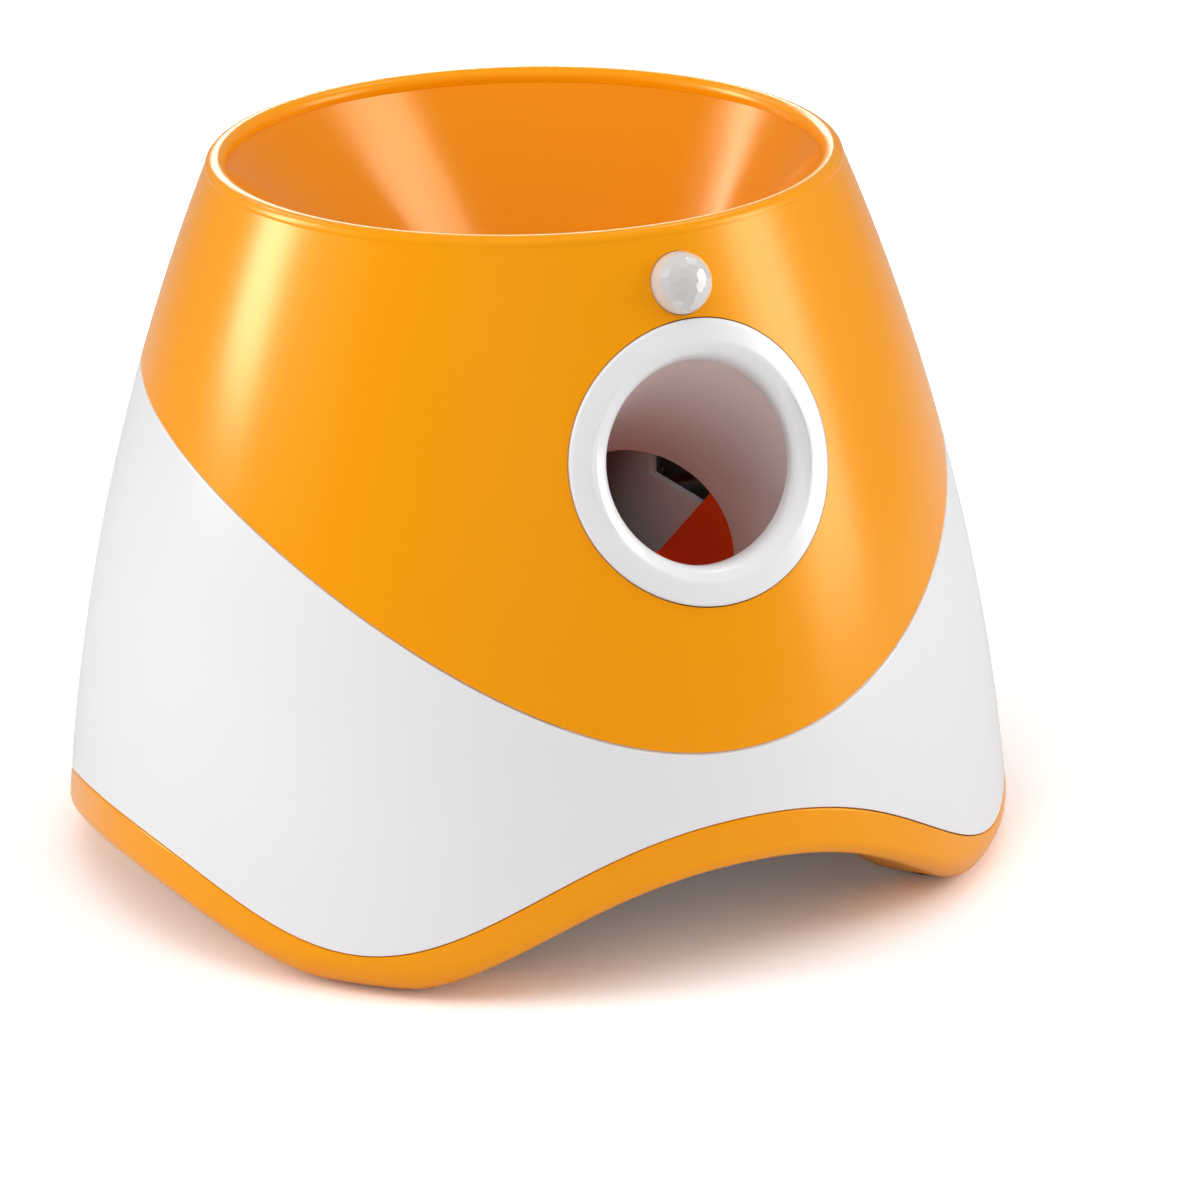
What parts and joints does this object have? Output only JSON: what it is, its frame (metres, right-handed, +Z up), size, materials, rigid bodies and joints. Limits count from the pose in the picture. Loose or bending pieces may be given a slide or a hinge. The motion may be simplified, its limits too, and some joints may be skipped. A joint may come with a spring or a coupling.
{
  "type": "automatic dog ball launcher",
  "caption": "Flared round toy launcher with a top hopper, a ringed front nozzle and arched feet, its spring arm wound back through a reduction gear train.",
  "frame": {"origin": "On the floor under the centre of the body.", "axes": "+Z up, -Y out through the nozzle, +X to the launcher's side on which the gear train lies."},
  "size_m": [0.272, 0.2686, 0.206],
  "materials": {
    "orange_plastic": "gloss moulded plastic, orange",
    "orange_bowl": "gloss moulded plastic, orange",
    "ring_plastic": "gloss moulded plastic, white",
    "white_plastic": "gloss moulded plastic, white",
    "inner_plastic": "satin moulded plastic, grey",
    "cradle_plastic": "satin moulded plastic, pale grey",
    "arm_plastic": "satin moulded plastic, orange-red",
    "pad_rubber": "soft black rubber",
    "ground_steel": "ground steel",
    "spring_steel": "drawn spring steel",
    "gear_plastic": "moulded acetal",
    "pinion_brass": "cut brass",
    "frame_plastic": "satin moulded plastic, white",
    "spacer_aluminium": "turned aluminium",
    "screw_steel": "zinc-plated steel",
    "motor_steel": "drawn steel can",
    "dark_plastic": "moulded plastic, black",
    "cell_metal": "plain wrapped cell",
    "board_laminate": "green laminate",
    "chip_plastic": "moulded plastic, black",
    "speaker_metal": "pressed steel",
    "lens_plastic": "milky moulded lens",
    "button_plastic": "gloss moulded plastic, orange",
    "light_plastic": "clear moulded lens",
    "pin_metal": "plated pin"
  },
  "bodies": {
    "housing": {"upper_shell": "orange_plastic", "base_trim": "orange_plastic", "hopper_bowl": "orange_bowl", "nozzle_ring": "ring_plastic", "lower_shell": "white_plastic", "launch_barrel": "inner_plastic", "ball_cradle": "cradle_plastic", "foot_pad_front_right": "pad_rubber", "foot_pad_back_right": "pad_rubber", "foot_pad_back_left": "pad_rubber", "foot_pad_front_left": "pad_rubber", "first_axle": "ground_steel", "second_axle": "ground_steel", "sector_axle": "ground_steel", "arm_spring": "spring_steel", "battery_springs": "spring_steel", "battery_contacts": "spring_steel", "gearbox_inner": "frame_plastic", "gearbox_outer": "frame_plastic", "shaft_bracket": "frame_plastic", "base_plate": "frame_plastic", "battery_door": "frame_plastic", "sensor_retainer": "frame_plastic", "gearbox_spacers": "spacer_aluminium", "gearbox_screws": "screw_steel", "board_screws": "screw_steel", "housing_screws": "screw_steel", "motor_can": "motor_steel", "motor_endcap": "dark_plastic", "button_switch": "dark_plastic", "speaker_cone": "dark_plastic", "dc_jack": "dark_plastic", "battery_cells": "cell_metal", "control_board": "board_laminate", "sensor_board": "board_laminate", "button_board": "board_laminate", "board_components": "chip_plastic", "speaker_frame": "speaker_metal", "sensor_can": "speaker_metal", "sensor_dome": "lens_plastic", "indicator_lenses": "light_plastic", "dc_jack_pin": "pin_metal"},
    "striker": {"striker_arm": "arm_plastic", "striker_pad": "pad_rubber", "arm_shaft": "ground_steel", "arm_quadrant": "gear_plastic"},
    "sector": {"sector_gear": "gear_plastic"},
    "second": {"second_gear": "gear_plastic"},
    "first": {"first_gear": "gear_plastic"},
    "motor": {"motor_pinion": "pinion_brass", "motor_shaft": "ground_steel"},
    "button": {"button_cap": "button_plastic"}
  },
  "joints": [
    {"name": "striker_swing", "type": "hinge", "parent": "housing", "child": "striker", "pos_m": [0, 0.00819, 0.12265], "axis": [1, 0, 0], "range_deg": [0, 48], "stiffness_Nm_per_rad": 0.2, "springref_deg": -17.19},
    {"name": "sector_turn", "type": "hinge", "parent": "housing", "child": "sector", "pos_m": [0, 0.00819, 0.06565], "axis": [1, 0, 0], "range_deg": [-180, 0]},
    {"name": "second_turn", "type": "hinge", "parent": "housing", "child": "second", "pos_m": [0, 0.02799, 0.08545], "axis": [1, 0, 0], "range_deg": [0, 540]},
    {"name": "first_turn", "type": "hinge", "parent": "housing", "child": "first", "pos_m": [0, 0.05599, 0.08545], "axis": [1, 0, 0], "range_deg": [-1620, 0]},
    {"name": "motor_turn", "type": "hinge", "parent": "housing", "child": "motor", "pos_m": [0, 0.07678, 0.09745], "axis": [1, 0, 0], "range_deg": [0, 6480]},
    {"name": "button_press", "type": "slide", "parent": "housing", "child": "button", "axis": [0, -0.9752, -0.2213], "range_m": [0, 0.0015], "stiffness_N_per_m": 400, "springref_m": -0.001}
  ],
  "couplings": [
    {"joint": "sector_turn", "follows": "striker_swing", "ratio": -3.75},
    {"joint": "second_turn", "follows": "striker_swing", "ratio": 11.25},
    {"joint": "first_turn", "follows": "striker_swing", "ratio": -33.75},
    {"joint": "motor_turn", "follows": "striker_swing", "ratio": 135}
  ]
}
